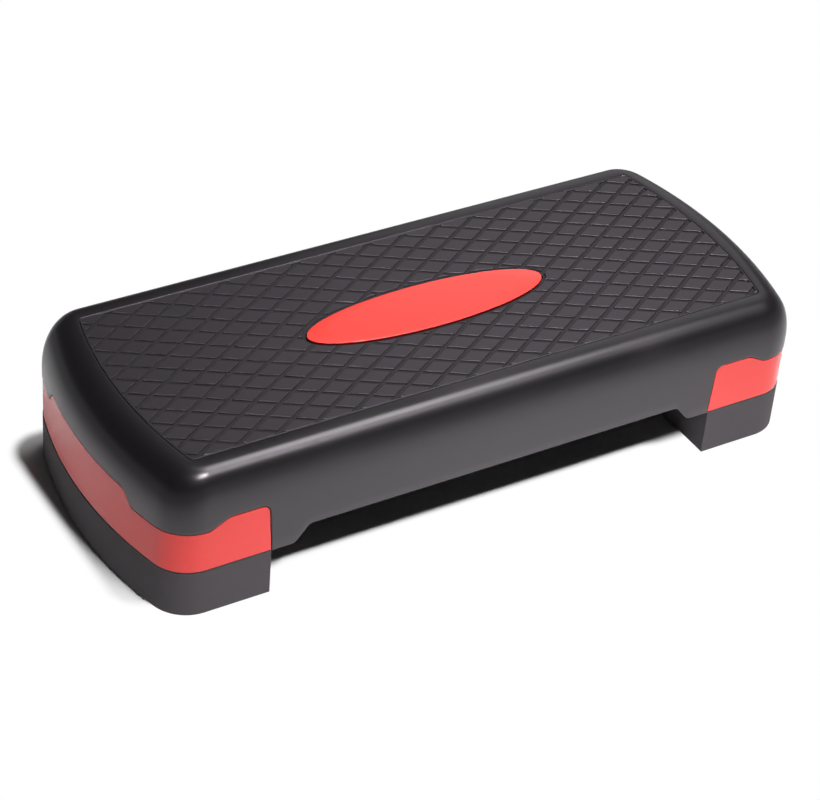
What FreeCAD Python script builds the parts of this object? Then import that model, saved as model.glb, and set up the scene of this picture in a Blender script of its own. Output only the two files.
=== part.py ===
import FreeCAD, Part
import math
import os
import re
import Sketcher

# Aerobic step platform: a crowned deck with a diamond tread, red inserts at both ends and lift-off risers.
# Millimetres. X runs along the length, Y across it with the front at -Y.
# Z goes up from the floor under the middle.

DRIVING_SIZES = {
    # Plan outline that the deck, the inserts and the risers share
    "half_length": 341.0,
    "half_width": 140.6,
    "end_radius": 428.0,
    "corner_radius": 37.0,
    "wall": 3.2,
    "seam": 0.6,
    "edge_break": 0.8,
    "overrun": 12.0,
    # Deck: skirt, lugs, crown and top
    "lug_bottom": 47.4,
    "skirt_edge": 64.2,
    "skirt_slope_in": 191.0,
    "skirt_slope_out": 205.0,
    "skirt_round": 8.0,
    "crown_base": 98.0,
    "rim_top": 145.6,
    "crown_end_run": 30.5,
    "crown_side_run": 21.5,
    "rim_corner": 12.0,
    "top_plate": 3.2,
    "hollow_start": 112.0,
    "hollow_bend": 126.0,
    "hollow_bend_run": 6.0,
    "hollow_run": 26.0,
    # Deck ribs
    "rib": 2.4,
    "rib_bottom": 104.0,
    "long_rib_place": 69.5,
    "cross_rib_pitch": 56.0,
    "end_cross_rib": 284.0,
    "rib_clearance": 1.5,
    # Tread mat with its diamond pads
    "tread_half_length": 304.6,
    "tread_half_width": 111.0,
    "tread_end_radius": 460.0,
    "tread_corner": 5.0,
    "mat_thick": 2.8,
    "mat_proud": 0.4,
    "mat_gap": 0.5,
    "diamond_long": 37.7,
    "diamond_cross": 22.7,
    "groove_width": 4.6,
    "groove_depth": 1.5,
    # Oval badge
    "badge_half_length": 122.4,
    "badge_half_width": 32.3,
    "badge_gap": 1.0,
    "badge_proud": 0.6,
    "badge_bevel": 0.8,
    "badge_peg_half": 2.6,
    "badge_peg_place": 70.0,
    "badge_peg_aside": 10.0,
    "badge_peg_length": 5.0,
    "badge_peg_gap": 0.25,
    # Red end inserts
    "insert_inner": 228.0,
    "insert_reveal": 0.5,
    "insert_lean": 3.0,
    "insert_corner": 8.0,
    "insert_low": 88.6,
    "insert_tall": 98.2,
    "insert_step_start": 268.0,
    "insert_step_end": 286.0,
    "insert_step_round": 9.0,
    "insert_end_tall": 102.0,
    "insert_end_step_in": 72.0,
    "insert_end_step_out": 83.0,
    "insert_end_step_round": 6.0,
    "insert_end_depth": 41.0,
    "insert_plate_top": 87.0,
    "insert_plate": 3.0,
    # Screws that hold the inserts up
    "screw_x": 256.0,
    "screw_y": 56.0,
    "screw_shank_radius": 2.0,
    "screw_length": 18.0,
    "screw_head_radius": 4.6,
    "screw_head_height": 2.6,
    "screw_gap": 0.3,
    "screw_boss_half": 5.5,
    # Risers with their pegs
    "riser_top": 47.2,
    "riser_plate": 3.0,
    "riser_rib_bottom": 3.0,
    "peg_half": 7.5,
    "peg_height": 13.0,
    "peg_gap": 0.35,
    "peg_end_gap": 2.0,
    "peg_point": 1.5,
    "socket_wall": 3.0,
    "peg_near_x": 256.0,
    "peg_near_y": 110.0,
    "peg_far_x": 308.0,
    "peg_far_y": 58.0,
    # Rubber pads under the risers
    "pad_half": 12.0,
    "pad_cut_corner": 4.0,
    "pad_thick": 4.0,
    "pad_proud": 1.0,
    "pad_gap": 0.3,
    "pad_boss_wall": 3.0,
    "pad_ledge": 2.5,
    "pad_edge": 0.8,
    "pad_inner_x": 245.0,
    "pad_inner_y": 123.0,
    "pad_outer_x": 308.0,
    "pad_outer_y": 84.0,
}

# Where the crown's sections lie on its quarter turn, in degrees
CROWN_ANGLES = (0, 22, 44, 66, 90)
# How full the crown is: 2 is a plain quarter ellipse, more is squarer
END_CROWN_POWER = 2.15
SIDE_CROWN_POWER = 2.6
DIAMOND_GROOVES = 27
LEVEL_TOLERANCE = 1e-6
CROSS_RIBS_EACH_WAY = 3

# Levels that follow from the driving sizes
RECESS_FLOOR = "(rim_top + mat_proud - mat_thick)"
PLATE_UNDER = "(rim_top + mat_proud - mat_thick - top_plate)"
INSERT_BOTTOM = "(riser_top + seam)"
INSERT_PLATE_UNDER = "(insert_plate_top - insert_plate)"
RISER_PLATE_UNDER = "(riser_top - riser_plate)"

doc = FreeCAD.newDocument("aerobic_step")
sheet = doc.addObject("Spreadsheet::Sheet", "Sizes")
for row, (alias, millimetres) in enumerate(DRIVING_SIZES.items(), start=1):
    sheet.set("A%d" % row, alias)
    sheet.set("B%d" % row, str(millimetres))
    sheet.setAlias("B%d" % row, alias)
doc.recompute()


def cells(expression):
    """The expression with each size's name pointed at its cell of the sheet."""
    return re.sub(r"[a-z_]+", lambda word: refer(word.group()), expression)


def refer(word):
    """A size's name becomes its cell; any other word, such as a function, stays."""
    return "Sizes." + word if word in DRIVING_SIZES else word


def size(expression):
    """The expression's value now, in millimetres."""
    return float(sheet.evalExpression(cells(expression)))


def bind(thing, **expressions):
    """Ties properties of an object to expressions on the sheet."""
    for name, expression in expressions.items():
        thing.setExpression(name.replace("__", "."), cells(expression))
    return thing


# Sketches


def sketch_on(body, name, role, offset="0"):
    """An empty sketch on one of the body's origin planes, lifted along the plane's normal."""
    sketch = body.newObject("Sketcher::SketchObject", name)
    plane = next(item for item in body.Origin.OriginFeatures if item.Role == role)
    sketch.AttachmentSupport = [(plane, "")]
    sketch.MapMode = "FlatFace"
    return bind(sketch, AttachmentOffset__Base__z=offset)


def measure(sketch, kind, *where_and_expression):
    """A dimension of the sketch, bound to an expression on the sheet."""
    *where, expression = where_and_expression
    index = sketch.addConstraint(Sketcher.Constraint(kind, *where, size(expression)))
    sketch.setExpression("Constraints[%d]" % index, cells(expression))


def relate(sketch, kind, *where):
    sketch.addConstraint(Sketcher.Constraint(kind, *where))


def segment(sketch, start, end):
    line = Part.LineSegment(FreeCAD.Vector(*start), FreeCAD.Vector(*end))
    return sketch.addGeometry(line, False)


def arc(sketch, middle, radius, start_angle, end_angle):
    circle = Part.Circle(FreeCAD.Vector(*middle), FreeCAD.Vector(0, 0, 1), radius)
    return sketch.addGeometry(Part.ArcOfCircle(circle, start_angle, end_angle), False)


START, END, MIDDLE = 1, 2, 3
ORIGIN = (-1, 1)
X_AXIS = -1


def bowed_end(sketch, side, length, width, bow, corner):
    """Three arcs of one end, -1 for left and 1 for right: a corner, the bowed end, a corner (anticlockwise).
    Returns the corners' numbers and where they leave the straight sides along X."""
    long_reach, half, large, small = size(length), size(width), size(bow), size(corner)
    middle_x = side * (long_reach - large)
    corner_run = math.sqrt((large - small) ** 2 - (half - small) ** 2)
    corner_x = middle_x + side * corner_run
    tilt = math.atan2(half - small, corner_run)
    facing = 0 if side > 0 else math.pi
    quarter = math.pi / 2
    first = arc(sketch, (corner_x, -side * (half - small), 0), small, facing - quarter, facing - tilt)
    bowed = arc(sketch, (middle_x, 0, 0), large, facing - tilt, facing + tilt)
    last = arc(sketch, (corner_x, side * (half - small), 0), small, facing + tilt, facing + quarter)
    relate(sketch, "Tangent", first, END, bowed, START)
    relate(sketch, "Tangent", bowed, END, last, START)
    relate(sketch, "PointOnObject", bowed, MIDDLE, X_AXIS)
    measure(sketch, "DistanceX", *ORIGIN, bowed, MIDDLE, "%d * (%s - (%s))" % (side, length, bow))
    measure(sketch, "Radius", bowed, bow)
    measure(sketch, "Radius", first, corner)
    relate(sketch, "Equal", first, last)
    return first, last, corner_x


def bowed_sketch(body, name, height, length, width, bow, corner):
    """The whole plan outline: straight front and back, bowed ends, rounded corners."""
    sketch = sketch_on(body, name, "XY_Plane", height)
    half = size(width)
    left_first, left_last, left_x = bowed_end(sketch, -1, length, width, bow, corner)
    right_first, right_last, right_x = bowed_end(sketch, 1, length, width, bow, corner)
    front = segment(sketch, (left_x, -half, 0), (right_x, -half, 0))
    back = segment(sketch, (right_x, half, 0), (left_x, half, 0))
    relate(sketch, "Tangent", left_last, END, front, START)
    relate(sketch, "Tangent", front, END, right_first, START)
    relate(sketch, "Tangent", right_last, END, back, START)
    relate(sketch, "Tangent", back, END, left_first, START)
    relate(sketch, "Horizontal", front)
    relate(sketch, "Horizontal", back)
    measure(sketch, "DistanceY", front, START, *ORIGIN, width)
    measure(sketch, "DistanceY", *ORIGIN, back, START, width)
    return sketch


def end_sketch(body, name, height, inner, length, width, bow, corner):
    """The plan outline of the left end only, closed by a straight inner edge across it."""
    sketch = sketch_on(body, name, "XY_Plane", height)
    half, edge = size(width), -size(inner)
    first, last, corner_x = bowed_end(sketch, -1, length, width, bow, corner)
    front = segment(sketch, (corner_x, -half, 0), (edge, -half, 0))
    across = segment(sketch, (edge, -half, 0), (edge, half, 0))
    back = segment(sketch, (edge, half, 0), (corner_x, half, 0))
    relate(sketch, "Tangent", last, END, front, START)
    relate(sketch, "Tangent", back, END, first, START)
    relate(sketch, "Coincident", front, END, across, START)
    relate(sketch, "Coincident", across, END, back, START)
    relate(sketch, "Horizontal", front)
    relate(sketch, "Horizontal", back)
    relate(sketch, "Vertical", across)
    measure(sketch, "DistanceY", front, START, *ORIGIN, width)
    measure(sketch, "DistanceY", *ORIGIN, back, START, width)
    measure(sketch, "DistanceX", across, START, *ORIGIN, inner)
    return sketch


def rounded_polygon(sketch, corners):
    """A closed outline through corners given as (across, up, round), each an expression.
    A sharp corner has None for its round."""
    points = [FreeCAD.Vector(size(across), size(up), 0) for across, up, _ in corners]
    rounds = [size(round_off) if round_off else 0 for _, _, round_off in corners]
    count = len(points)
    arrive, leave = [], []
    for index, point in enumerate(points):
        before = (points[index - 1] - point).normalize()
        after = (points[(index + 1) % count] - point).normalize()
        trim = rounds[index] / math.tan(before.getAngle(after) / 2)
        arrive.append(point + before * trim)
        leave.append(point + after * trim)
    lines = []
    for index in range(count):
        lines.append(segment(sketch, leave[index], arrive[(index + 1) % count]))
    for index, (across, up, round_off) in enumerate(corners):
        before, after = lines[index - 1], lines[index]
        if round_off:
            round_corner(sketch, before, after, points[index], arrive[index], leave[index], round_off)
            corner = sketch.addGeometry(Part.Point(points[index]), True)
            relate(sketch, "PointOnObject", corner, START, before)
            relate(sketch, "PointOnObject", corner, START, after)
        else:
            relate(sketch, "Coincident", before, END, after, START)
            corner = after
        measure(sketch, "DistanceX", *ORIGIN, corner, START, across)
        measure(sketch, "DistanceY", *ORIGIN, corner, START, up)


def round_corner(sketch, before, after, corner, arrive, leave, round_off):
    """The arc between two lines of an outline that meet at a corner."""
    radius = size(round_off)
    inward = ((arrive - corner) + (leave - corner)).normalize()
    half_chord = (arrive - leave).Length / 2
    middle = corner + inward * ((arrive - corner).Length * radius / half_chord)
    turn = (corner - arrive).cross(leave - corner).z
    ends = (arrive, leave) if turn > 0 else (leave, arrive)
    angles = [math.atan2(point.y - middle.y, point.x - middle.x) for point in ends]
    bend = arc(sketch, middle, radius, *angles)
    first, last = (START, END) if turn > 0 else (END, START)
    relate(sketch, "Tangent", before, END, bend, first)
    relate(sketch, "Tangent", bend, last, after, START)
    measure(sketch, "Radius", bend, round_off)


def oval(sketch, half_long, half_short):
    """An ellipse about the origin, long along X."""
    long_reach, short_reach = size(half_long), size(half_short)
    middle = FreeCAD.Vector(0, 0, 0)
    ellipse = Part.Ellipse(FreeCAD.Vector(long_reach, 0, 0), FreeCAD.Vector(0, short_reach, 0), middle)
    number = sketch.addGeometry(ellipse, False)
    sketch.exposeInternalGeometry(number)
    long_axis, short_axis = number + 1, number + 2
    relate(sketch, "Coincident", number, MIDDLE, *ORIGIN)
    relate(sketch, "Horizontal", long_axis)
    measure(sketch, "Distance", long_axis, "2 * (%s)" % half_long)
    measure(sketch, "Distance", short_axis, "2 * (%s)" % half_short)


# Features


def new_body(name):
    return doc.addObject("PartDesign::Body", name)


def pad(body, name, sketch, length, reverse=False, symmetric=False):
    feature = body.newObject("PartDesign::Pad", name)
    feature.Profile = sketch
    feature.Reversed = reverse
    if symmetric:
        feature.SideType = "Symmetric"
    return bind(feature, Length=length)


def pocket(body, name, sketch, depth):
    """A cut down from the sketch, against its normal."""
    feature = body.newObject("PartDesign::Pocket", name)
    feature.Profile = sketch
    return bind(feature, Length=depth)


def bevel(body, name, feature, level, width):
    """A bevel round the feature's level faces at that height."""
    doc.recompute()
    height = size(level)
    edged = []
    for number, face in enumerate(feature.Shape.Faces, start=1):
        stray = max(abs(face.BoundBox.ZMin - height), abs(face.BoundBox.ZMax - height))
        if stray < LEVEL_TOLERANCE:
            edged.append("Face%d" % number)
    chamfer = body.newObject("PartDesign::Chamfer", name)
    chamfer.Base = (feature, edged)
    return bind(chamfer, Size=width)


def loft(body, name, sketches):
    """A ruled skin through level sections, bottom first."""
    feature = body.newObject("PartDesign::AdditiveLoft", name)
    feature.Profile = sketches[0]
    feature.Sections = sketches[1:]
    feature.Ruled = True
    return feature


def block(name, x_from, x_to, y_from, y_to, z_from, z_to):
    """A box between pairs of expressions."""
    box = doc.addObject("Part::Box", name)
    bind(box, Length="(%s) - (%s)" % (x_to, x_from), Width="(%s) - (%s)" % (y_to, y_from))
    bind(box, Height="(%s) - (%s)" % (z_to, z_from))
    return bind(box, Placement__Base__x=x_from, Placement__Base__y=y_from, Placement__Base__z=z_from)


def post(name, radius, x, y, z_from, z_to):
    """An upright cylinder."""
    cylinder = doc.addObject("Part::Cylinder", name)
    bind(cylinder, Radius=radius, Height="(%s) - (%s)" % (z_to, z_from))
    return bind(cylinder, Placement__Base__x=x, Placement__Base__y=y, Placement__Base__z=z_from)


def square_post(name, half, x, y, z_from, z_to):
    """An upright square bar."""
    return block(name, "%s - (%s)" % (x, half), "%s + %s" % (x, half), "%s - (%s)" % (y, half),
                 "%s + %s" % (y, half), z_from, z_to)


def fuse(name, pieces):
    joined = doc.addObject("Part::MultiFuse", name)
    joined.Shapes = pieces
    return joined


def shared(name, pieces):
    overlap = doc.addObject("Part::MultiCommon", name)
    overlap.Shapes = pieces
    return overlap


def cut(name, base, tools):
    tool = tools[0] if len(tools) == 1 else fuse(name + "_tools", tools)
    result = doc.addObject("Part::Cut", name)
    result.Base = base
    result.Tool = tool
    return result


def mirror(name, source):
    """The same thing at the other end of the platform."""
    image = doc.addObject("Part::Mirroring", name)
    image.Source = source
    image.Normal = FreeCAD.Vector(1, 0, 0)
    return image


LONG_RIB_PLACES = (("front", "-long_rib_place"), ("middle", "0"), ("back", "long_rib_place"))
PEG_PLACES = (("front_near", "-peg_near_x", "-peg_near_y"), ("back_near", "-peg_near_x", "peg_near_y"),
              ("front_far", "-peg_far_x", "-peg_far_y"), ("back_far", "-peg_far_x", "peg_far_y"))
SCREW_PLACES = (("front", "-screw_x", "-screw_y"), ("back", "-screw_x", "screw_y"))
PAD_PLACES = (("front_inner", "pad_inner_x", "-pad_inner_y"), ("back_inner", "pad_inner_x", "pad_inner_y"),
              ("front_outer", "pad_outer_x", "-pad_outer_y"), ("back_outer", "pad_outer_x", "pad_outer_y"))


# Shared forms of the ends


def end_block(name, inner, inset, bottom, top):
    """A solid of the left end's plan outline, drawn in by inset, between two heights."""
    body = new_body(name)
    length, width = "half_length - (%s)" % inset, "half_width - (%s)" % inset
    bow, corner = "end_radius - (%s)" % inset, "corner_radius - (%s)" % inset
    sketch = end_sketch(body, name + "_outline", bottom, inner, length, width, bow, corner)
    pad(body, name + "_pad", sketch, "(%s) - (%s)" % (top, bottom))
    return body


def wavy_forms(name, gap):
    """The space that an insert fills, seen from the front and from the end, grown by gap."""
    floor = "lug_bottom - 2 * overrun"
    reach = "-half_length - overrun"
    front = new_body(name + "_front")
    sketch = sketch_on(front, name + "_front_profile", "XZ_Plane")
    rounded_polygon(sketch, [
        ("-insert_inner + %s" % gap, floor, None),
        ("-insert_inner + %s" % gap, INSERT_BOTTOM, None),
        ("-insert_inner - insert_lean + %s" % gap, "insert_tall + %s" % gap, "insert_corner + %s" % gap),
        ("-insert_step_start", "insert_tall + %s" % gap, "insert_step_round"),
        ("-insert_step_end", "insert_low + %s" % gap, "insert_step_round"),
        (reach, "insert_low + %s" % gap, None),
        (reach, floor, None),
    ])
    pad(front, name + "_front_pad", sketch, "2 * (half_width + overrun)", symmetric=True)
    end = new_body(name + "_end")
    sketch = sketch_on(end, name + "_end_profile", "YZ_Plane", reach)
    side = "half_width + overrun"
    rounded_polygon(sketch, [
        ("-(%s)" % side, floor, None),
        (side, floor, None),
        (side, "insert_low + %s" % gap, None),
        ("insert_end_step_out", "insert_low + %s" % gap, "insert_end_step_round"),
        ("insert_end_step_in", "insert_end_tall + %s" % gap, "insert_end_step_round"),
        ("-insert_end_step_in", "insert_end_tall + %s" % gap, "insert_end_step_round"),
        ("-insert_end_step_out", "insert_low + %s" % gap, "insert_end_step_round"),
        ("-(%s)" % side, "insert_low + %s" % gap, None),
    ])
    pad(end, name + "_end_pad", sketch, "insert_end_depth + overrun")
    return [front, end]


def end_ribs(name, z_from, z_to):
    """Ribs across and along the left end, to be trimmed by the piece that carries them."""
    ribs = []
    for label, place in LONG_RIB_PLACES:
        ribs.append(block("%s_%s" % (name, label), "-half_length", "-insert_inner", place + " - rib / 2",
                          place + " + rib / 2", z_from, z_to))
    ribs.append(block(name + "_across", "-end_cross_rib - rib / 2", "-end_cross_rib + rib / 2", "-half_width",
                      "half_width", z_from, z_to))
    return ribs


# Deck


def crown_share(angle, power):
    """How far the crown has come in at that angle of its turn, as a share of its run."""
    climb = math.sin(math.radians(angle))
    return 1 - (1 - min(1.0, climb ** power)) ** (1 / power)


def crowned_form():
    """The deck's outside: upright walls, then a crown that rolls in further at the ends than at the sides."""
    body = new_body("deck_outside")
    sections = []
    for angle in CROWN_ANGLES:
        climb_share = math.sin(math.radians(angle))
        end_run = "crown_end_run * %r" % crown_share(angle, END_CROWN_POWER)
        side_share = crown_share(angle, SIDE_CROWN_POWER)
        sections.append(bowed_sketch(
            body, "crown_section_%d" % angle, "crown_base + (rim_top - crown_base) * %r" % climb_share,
            "half_length - " + end_run, "half_width - crown_side_run * %r" % side_share,
            "end_radius - " + end_run, "corner_radius - (corner_radius - rim_corner) * %r" % side_share))
    pad(body, "deck_walls", sections[0], "crown_base - lug_bottom + overrun", reverse=True)
    loft(body, "deck_crown", sections)
    return body


def hollow_form():
    """The deck's inside: upright walls, then two slopes that follow the crown up to the top plate."""
    body = new_body("deck_hollow")
    sections = []
    for name, height, run in (("start", "hollow_start", "0"), ("bend", "hollow_bend", "hollow_bend_run"),
                              ("top", PLATE_UNDER, "hollow_run")):
        inset = "(wall + %s)" % run
        sections.append(bowed_sketch(
            body, "hollow_section_" + name, height, "half_length - " + inset, "half_width - " + inset,
            "end_radius - " + inset, "corner_radius - " + inset))
    pad(body, "hollow_walls", sections[0], "hollow_start - lug_bottom + 2 * overrun", reverse=True)
    loft(body, "hollow_slopes", sections)
    return body


def skirt_form():
    """All that lies below the deck's lower edge: lug, slope, long skirt, slope, lug."""
    body = new_body("below_skirt")
    sketch = sketch_on(body, "below_skirt_profile", "XZ_Plane")
    reach, floor = "half_length + overrun", "lug_bottom - 2 * overrun"
    rounded_polygon(sketch, [
        ("-(%s)" % reach, floor, None),
        (reach, floor, None),
        (reach, "lug_bottom", None),
        ("skirt_slope_out", "lug_bottom", "skirt_round"),
        ("skirt_slope_in", "skirt_edge", "skirt_round"),
        ("-skirt_slope_in", "skirt_edge", "skirt_round"),
        ("-skirt_slope_out", "lug_bottom", "skirt_round"),
        ("-(%s)" % reach, "lug_bottom", None),
    ])
    pad(body, "below_skirt_pad", sketch, "2 * (half_width + overrun)", symmetric=True)
    return body


def middle_ribs():
    """The rib grid under the middle of the top and the two upright bulkheads beside the inserts."""
    ribs = []
    bulkhead_out = "insert_inner - seam"
    for label, place in LONG_RIB_PLACES:
        ribs.append(block("deck_rib_" + label, "-(%s)" % bulkhead_out, bulkhead_out, place + " - rib / 2",
                          place + " + rib / 2", "rib_bottom", RECESS_FLOOR))
    for number in range(-CROSS_RIBS_EACH_WAY, CROSS_RIBS_EACH_WAY + 1):
        place = "%d * cross_rib_pitch" % number
        ribs.append(block("deck_cross_rib_%d" % (number + CROSS_RIBS_EACH_WAY), place + " - rib / 2",
                          place + " + rib / 2", "-half_width", "half_width", "rib_bottom", RECESS_FLOOR))
    bulkhead_in = "(%s - wall)" % bulkhead_out
    ribs.append(block("left_bulkhead", "-(%s)" % bulkhead_out, "-" + bulkhead_in, "-half_width", "half_width",
                      "lug_bottom - overrun", RECESS_FLOOR))
    ribs.append(block("right_bulkhead", bulkhead_in, bulkhead_out, "-half_width", "half_width",
                      "lug_bottom - overrun", RECESS_FLOOR))
    return ribs


def left_deck_feet():
    """Ribs and screw bosses that stand on the left insert's plate, clear of its walls, and carry the top."""
    room = end_block("deck_end_room", "insert_inner + insert_lean + wall + rib_clearance",
                     "insert_reveal + wall + rib_clearance", "insert_plate_top", "rib_bottom")
    ribs = fuse("deck_low_grid", end_ribs("deck_low_rib", "insert_plate_top", "rib_bottom"))
    feet = [shared("deck_low_ribs", [ribs, room])]
    for label, x, y in SCREW_PLACES:
        feet.append(square_post("deck_boss_" + label, "screw_boss_half", x, y, "insert_plate_top",
                                PLATE_UNDER + " + top_plate / 2"))
    return fuse("left_deck_feet", feet)


def screw_holes():
    holes = []
    for label, x, y in SCREW_PLACES:
        holes.append(post("pilot_hole_" + label, "screw_shank_radius + screw_gap", x, y, INSERT_PLATE_UNDER,
                          INSERT_PLATE_UNDER + " + screw_length + screw_gap"))
    return fuse("left_screw_holes", holes)


def make_deck():
    outside = crowned_form()
    shell = cut("deck_shell", outside, [hollow_form()])
    left_ribs = fuse("left_deck_ribs", end_ribs("deck_end_rib", "rib_bottom", RECESS_FLOOR))
    grid = fuse("deck_grid", middle_ribs() + [left_ribs, mirror("right_deck_ribs", left_ribs)])
    ribbed = fuse("deck_ribbed", [shell, shared("deck_ribs", [grid, outside])])
    recess = new_body("mat_recess")
    sketch = tread_sketch(recess, "mat_recess_outline", RECESS_FLOOR, "mat_gap")
    pad(recess, "mat_recess_pad", sketch, "mat_thick + overrun")
    openings = wavy_forms("insert_room", "seam")
    tools = [recess, skirt_form()] + openings
    tools += [mirror(opening.Name + "_right", opening) for opening in openings]
    for label, x in (("left", "-badge_peg_place"), ("right", "badge_peg_place")):
        hole_half = "badge_peg_half + badge_peg_gap"
        tools.append(square_post("badge_hole_" + label, hole_half, x, "badge_peg_aside",
                                 RECESS_FLOOR + " - badge_peg_length - overrun", RECESS_FLOOR + " + overrun"))
    left_feet = left_deck_feet()
    opened = cut("deck_opened", ribbed, tools)
    footed = fuse("deck_footed", [opened, left_feet, mirror("right_deck_feet", left_feet)])
    left_holes = screw_holes()
    return cut("deck", footed, [left_holes, mirror("right_screw_holes", left_holes)])


# Tread mat and badge


def tread_sketch(body, name, height, grow):
    """The tread's outline, grown by a gap all round."""
    length, width = "tread_half_length + (%s)" % grow, "tread_half_width + (%s)" % grow
    bow, corner = "tread_end_radius + (%s)" % grow, "tread_corner + (%s)" % grow
    return bowed_sketch(body, name, height, length, width, bow, corner)


def groove_family(body, name, slant):
    """Parallel V grooves across the mat, leaning one way (1) or the other (-1), a diamond's length apart.
    The V is drawn twice as deep and wide as the groove, so that it stands out of the mat's top."""
    first = "%d * (diamond_long / 4 - diamond_long * %d)" % (slant, DIAMOND_GROOVES // 2)
    turn = "%d * atan(diamond_long / diamond_cross)" % -slant
    upright = FreeCAD.Vector(0, 1, 0)
    sketch = sketch_on(body, name + "_profile", "XZ_Plane")
    sketch.AttachmentOffset = FreeCAD.Placement(FreeCAD.Vector(), FreeCAD.Rotation(upright, -slant))
    bind(sketch, AttachmentOffset__Base__x=first, AttachmentOffset__Rotation__Angle=turn)
    top = "rim_top + mat_proud"
    rounded_polygon(sketch, [
        ("0", top + " - groove_depth", None),
        ("groove_width", top + " + groove_depth", None),
        ("-groove_width", top + " + groove_depth", None),
    ])
    along = "2 * (tread_half_width + overrun) * sqrt(diamond_long ^ 2 + diamond_cross ^ 2) / diamond_cross"
    groove = pocket(body, name, sketch, along)
    groove.SideType = "Symmetric"
    pattern = body.newObject("PartDesign::LinearPattern", name + "_row")
    pattern.Originals = [groove]
    axis = next(item for item in body.Origin.OriginFeatures if item.Role == "X_Axis")
    pattern.Direction = (axis, [""])
    pattern.Reversed = slant < 0
    pattern.Occurrences = DIAMOND_GROOVES
    bind(pattern, Length="diamond_long * %d" % (DIAMOND_GROOVES - 1))
    body.Tip = pattern


def make_tread_mat():
    body = new_body("tread_mat")
    sheet_outline = tread_sketch(body, "mat_outline", RECESS_FLOOR, "0")
    pad(body, "mat_sheet", sheet_outline, "mat_thick")
    hole = sketch_on(body, "mat_hole_outline", "XY_Plane", "rim_top + mat_proud")
    oval(hole, "badge_half_length + badge_gap", "badge_half_width + badge_gap")
    pocket(body, "mat_hole", hole, "mat_thick + overrun")
    groove_family(body, "rising_groove", 1)
    groove_family(body, "falling_groove", -1)
    return body


def make_badge():
    """An oval plate with a bevelled edge and two square pegs under it."""
    body = new_body("badge_face")
    outline = sketch_on(body, "badge_outline", "XY_Plane", RECESS_FLOOR)
    oval(outline, "badge_half_length", "badge_half_width")
    pad(body, "badge_plate", outline, "mat_thick + badge_proud - badge_bevel")
    top = "rim_top + mat_proud + badge_proud"
    edge = sketch_on(body, "badge_edge_outline", "XY_Plane", top + " - badge_bevel")
    oval(edge, "badge_half_length", "badge_half_width")
    face = sketch_on(body, "badge_face_outline", "XY_Plane", top)
    oval(face, "badge_half_length - badge_bevel", "badge_half_width - badge_bevel")
    loft(body, "badge_bevel_edge", [edge, face])
    pegs = []
    for label, x in (("left", "-badge_peg_place"), ("right", "badge_peg_place")):
        pegs.append(square_post("badge_peg_" + label, "badge_peg_half", x, "badge_peg_aside",
                                RECESS_FLOOR + " - badge_peg_length", RECESS_FLOOR + " + mat_thick"))
    return fuse("centre_badge", [body] + pegs)


# End inserts and their screws


def make_left_insert():
    """A red moulding: outer walls up to the wavy edge, a plate across, ribs and peg sockets below it."""
    outside = end_block("insert_block", "insert_inner", "insert_reveal", INSERT_BOTTOM,
                        "insert_end_tall + overrun")
    inner = "insert_inner + insert_lean + wall"
    below = end_block("insert_below_plate", inner, "insert_reveal + wall", "riser_top - overrun",
                      INSERT_PLATE_UNDER)
    above = end_block("insert_above_plate", inner, "insert_reveal + wall", "insert_plate_top",
                      "insert_end_tall + 2 * overrun")
    hollow = cut("insert_hollowed", outside, [below, above])
    shell = shared("insert_shell", [hollow, fuse("insert_form", wavy_forms("insert_edge", "0"))])
    room = end_block("insert_rib_room", "insert_inner + wall", "insert_reveal + wall / 2", "riser_top",
                     INSERT_PLATE_UNDER)
    ribs = end_ribs("insert_rib", "riser_top", INSERT_PLATE_UNDER)
    bores = []
    for label, x, y in PEG_PLACES:
        ribs.append(square_post("socket_" + label, "peg_half + peg_gap + socket_wall", x, y, "riser_top",
                                INSERT_PLATE_UNDER))
        bores.append(square_post("socket_bore_" + label, "peg_half + peg_gap", x, y, "riser_top - overrun",
                                 "riser_top + peg_height + peg_end_gap"))
    for label, x, y in SCREW_PLACES:
        bores.append(post("insert_hole_" + label, "screw_shank_radius + screw_gap", x, y,
                          INSERT_PLATE_UNDER + " - screw_gap", "insert_plate_top + screw_gap"))
    trimmed = shared("insert_ribs", [fuse("insert_grid", ribs), room])
    return cut("left_end_insert", fuse("insert_ribbed", [shell, trimmed]), bores)


def make_left_screws():
    """Hexagon-head screws from below, heads against the insert's plate."""
    screws = []
    for label, x, y in SCREW_PLACES:
        shank = post("screw_shank_" + label, "screw_shank_radius", x, y, INSERT_PLATE_UNDER,
                     INSERT_PLATE_UNDER + " + screw_length")
        head = doc.addObject("Part::Prism", "screw_head_" + label)
        bind(head, Circumradius="screw_head_radius", Height="screw_head_height", Placement__Base__x=x)
        bind(head, Placement__Base__y=y, Placement__Base__z=INSERT_PLATE_UNDER + " - screw_head_height")
        screws.append(fuse("screw_" + label, [shank, head]))
    group = doc.addObject("Part::Compound", "left_insert_screws")
    group.Links = screws
    return group


# Risers and their pads


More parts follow.
